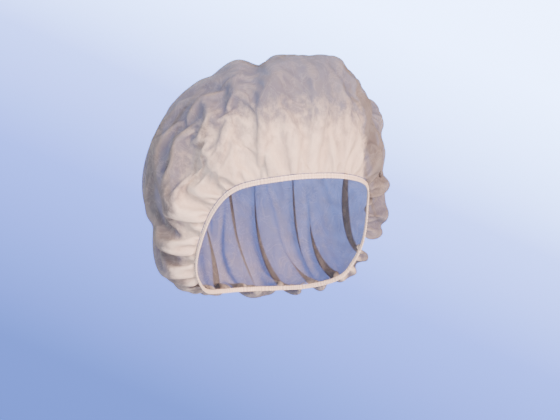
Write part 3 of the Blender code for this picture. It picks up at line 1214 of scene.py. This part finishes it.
@dataclass
class ElasticBand:
    """The band: the disc's edge folded over an elastic, crimped by it, with a groove between its ridges."""

    form: CapForm = field(default_factory=CapForm)
    finish: CasingFinish = field(default_factory=CasingFinish)
    thickness: float = 0.0020
    # Below 1, the section's corners are fuller than an oval's
    corner_power: float = 0.7
    edge_inset: float = 0.0002
    steps: int = 1152
    around: int = 16
    crimps: int = 232
    crimp_height: float = 0.00030
    crimp_widening: float = 0.06
    # How many waves round the loop crowd the crimps, and by how much
    crimp_drift: tuple[int, float] = (31, 2.5)
    groove_depth: float = 0.00055
    groove_width: float = 0.22
    even_light: float = 0.62
    crimp_light: float = 0.38
    groove_shade: float = 0.6
    seed: int = 3

    def crimp(self, turns: np.ndarray) -> np.ndarray:
        """Makes the uneven crimps.

        Args:
            turns: the turns at which they are read.

        Returns:
            Heights from -1 to 1.
        """
        chance = np.random.default_rng(self.seed)
        uneven = np.interp(turns * self.crimps, np.arange(self.crimps + 1), chance.random(self.crimps + 1))
        count, drift = self.crimp_drift
        wave = np.cos(math.tau * self.crimps * turns + drift * np.sin(math.tau * count * turns))
        return (0.5 + 0.5 * uneven) * wave

    def section(self) -> tuple[np.ndarray, np.ndarray]:
        """Draws the band's rounded section.

        Returns:
            How far across and how deep each of its points is, from -1 to 1.
        """
        angle = math.tau * np.arange(self.around) / self.around
        across = np.sign(np.cos(angle)) * np.abs(np.cos(angle)) ** self.corner_power
        deep = np.sign(np.sin(angle)) * np.abs(np.sin(angle)) ** self.corner_power
        return across, deep

    def mesh(self, points: np.ndarray) -> bpy.types.Mesh:
        """Joins sections to a closed ring.

        Args:
            points: the points by step and place in the section.

        Returns:
            The ring's mesh.
        """
        number = np.arange(self.steps * self.around).reshape(self.steps, self.around)
        next_step = np.roll(number, -1, axis=0)
        faces = np.stack([
            number, np.roll(number, -1, axis=1), np.roll(next_step, -1, axis=1), next_step], axis=-1)
        mesh = bpy.data.meshes.new("elastic_casing")
        mesh.from_pydata(points.reshape(-1, 3).tolist(), [], faces.reshape(-1, 4).tolist())
        shell = bmesh.new()
        shell.from_mesh(mesh)
        bmesh.ops.recalc_face_normals(shell, faces=shell.faces)
        shell.to_mesh(mesh)
        shell.free()
        return mesh

    def build(self) -> bpy.types.Object:
        """Builds the band, dresses it and hands it to the frame.

        Returns:
            The finished piece.
        """
        turns = np.arange(self.steps) / self.steps
        seat = self.form.seats_at(turns)[:, None]
        across, deep = self.section()
        crimp = self.crimp(turns)[:, None]
        groove = np.exp(-(across / self.groove_width) ** 2) * (deep > 0)
        out = deep * (self.thickness / 2 - self.crimp_height) - groove * self.groove_depth
        out = out[None] + crimp * self.crimp_height * np.abs(deep)[None]
        wide = across[None] * (self.form.band_width / 2 - self.edge_inset) * (1 + self.crimp_widening * crimp)
        points = seat[..., 0:3] + seat[..., 6:9] * wide[..., None] + seat[..., 3:6] * out[..., None]
        mesh = self.mesh(points)
        # Painted light on the crimps' crests, painted shade in their troughs and in the groove
        ridge_highlight = self.even_light + self.crimp_light * crimp - self.groove_shade * groove[None]
        write_attribute(mesh, "ridge_highlight", np.clip(ridge_highlight, 0, 1))
        mesh.shade_smooth()
        mesh.materials.append(self.finish.material())
        piece = new_object("elastic_casing", mesh)
        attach(piece, "root")
        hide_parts("elastic_band")
        log.info("elastic casing: %d points", len(mesh.vertices))
        return piece


@dataclass(frozen=True)
class Lamp:
    """One soft lamp that faces the cap."""

    name: str
    place: Place
    power: float
    size: float
    colour: Colour

    def build(self, aim: Place) -> None:
        """Adds the lamp.

        Args:
            aim: the point that it faces.
        """
        bpy.ops.object.light_add(type="AREA", location=self.place)
        lamp = bpy.context.object
        lamp.name = self.name
        lamp.data.energy = self.power
        lamp.data.size = self.size
        lamp.data.color = self.colour
        lamp.rotation_euler = (Vector(self.place) - Vector(aim)).to_track_quat("Z", "Y").to_euler()


@dataclass
class Studio:
    """Camera, light, backdrop and floor."""

    azimuth: float = -22.0
    elevation: float = 5.0
    distance: float = 1.5
    lens: float = 109.0
    aim: Place = (0.0005, 0.0, 0.0229)
    lamp_aim: Place = (0.0, 0.03, 0.05)
    lamps: tuple[Lamp, ...] = (
        Lamp("key", (0.05, -1.80, 0.50), 130, 0.7, (1.0, 0.585, 0.39)),
        Lamp("fill", (-1.6, -0.7, 0.6), 30, 1.4, (0.95, 0.80, 0.76)),
        Lamp("back", (0.3, 1.9, 0.4), 38, 1.2, (0.98, 0.82, 0.76)),
    )
    room_colour: Colour = (0.86, 0.90, 1.0)
    room_light: float = 0.42
    dome_radius: float = 6.0
    dome_glow: float = 10.0
    lighter_way: Place = (0.401, -0.076, 0.912)
    lean_span: float = 0.8
    # Painted light and shade on the backdrop, from its darker side to its lighter one
    backdrop_colours: tuple[tuple[float, Colour], ...] = (
        (-0.40, (0.012, 0.026, 0.105)),
        (-0.16, (0.022, 0.038, 0.138)),
        (-0.03, (0.053, 0.082, 0.290)),
        (0.05, (0.110, 0.160, 0.450)),
        (0.16, (0.350, 0.530, 1.050)),
        (0.40, (0.600, 0.750, 1.200)),
    )
    floor_depth: float = 0.42
    floor_width: float = 2.2
    floor_colour: Colour = (0.70, 0.76, 0.86)
    floor_roughness: float = 0.8

    def camera(self) -> None:
        """Puts the camera at the photograph's angle."""
        turn = math.radians(self.azimuth)
        rise = math.radians(self.elevation)
        back = Vector((
            math.sin(turn) * math.cos(rise),
            -math.cos(turn) * math.cos(rise),
            math.sin(rise),
        ))
        bpy.ops.object.camera_add(location=Vector(self.aim) + back * self.distance)
        camera = bpy.context.object
        camera.name = "camera"
        camera.rotation_euler = back.to_track_quat("Z", "Y").to_euler()
        camera.data.lens = self.lens
        bpy.context.scene.camera = camera

    def world(self) -> None:
        """Gives the scene its soft even light."""
        world = bpy.data.worlds.new("pale_room")
        bpy.context.scene.world = world
        world.use_nodes = True
        background = world.node_tree.nodes["Background"]
        background.inputs["Color"].default_value = (*self.room_colour, 1)
        background.inputs["Strength"].default_value = self.room_light

    def backdrop(self) -> None:
        """Surrounds everything with a pale blue dome, painted lighter towards the upper right and darker
        towards the lower left.

        Only the camera sees it, so it neither lights nor shades the cap.
        """
        bpy.ops.mesh.primitive_uv_sphere_add(segments=64, ring_count=32, radius=self.dome_radius)
        dome = bpy.context.object
        dome.name = "backdrop"
        dome.visible_diffuse = False
        dome.visible_glossy = False
        dome.visible_transmission = False
        dome.visible_shadow = False
        graph = Graph("pale_backdrop")
        place = graph.node("ShaderNodeTexCoord", output="Object")
        way = graph.node("ShaderNodeVectorMath", {"operation": "NORMALIZE"}, {0: place})
        lean = graph.node(
            "ShaderNodeVectorMath", {"operation": "DOT_PRODUCT"}, {0: way, 1: self.lighter_way}, "Value")
        stops = [(0.5 + spot / self.lean_span, colour) for spot, colour in self.backdrop_colours]
        shade = graph.node("ShaderNodeValToRGB", {"stops": stops}, {0: lean * (1 / self.lean_span) + 0.5})
        glow = graph.node("ShaderNodeEmission", sockets={"Color": shade, "Strength": self.dome_glow})
        dome.data.materials.append(graph.finished(glow))

    def floor(self) -> None:
        """Lays a plain pale floor well below the cap."""
        bpy.ops.mesh.primitive_circle_add(
            vertices=96, radius=self.floor_width / 2, fill_type="NGON", location=(0, 0, -self.floor_depth))
        floor = bpy.context.object
        floor.name = "floor"
        graph = Graph("pale_floor")
        surface = graph.node("ShaderNodeBsdfPrincipled", sockets={
            "Base Color": (*self.floor_colour, 1), "Roughness": self.floor_roughness})
        floor.data.materials.append(graph.finished(surface))

    def build(self) -> None:
        """Sets up everything round the cap."""
        self.camera()
        for lamp in self.lamps:
            lamp.build(self.lamp_aim)
        self.world()
        self.backdrop()
        self.floor()
        log.info("studio: camera, lamps, surroundings and floor")


def main() -> None:
    """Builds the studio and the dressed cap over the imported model."""
    logging.basicConfig(level=logging.INFO, format="%(name)s: %(message)s")
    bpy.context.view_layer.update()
    bpy.ops.object.select_all(action="DESELECT")
    Studio().build()
    form = CapForm()
    band = ElasticBand(form=form).build()
    crown = Crown(form=form)
    cloth = crown.build()


if __name__ == "__main__":
    main()
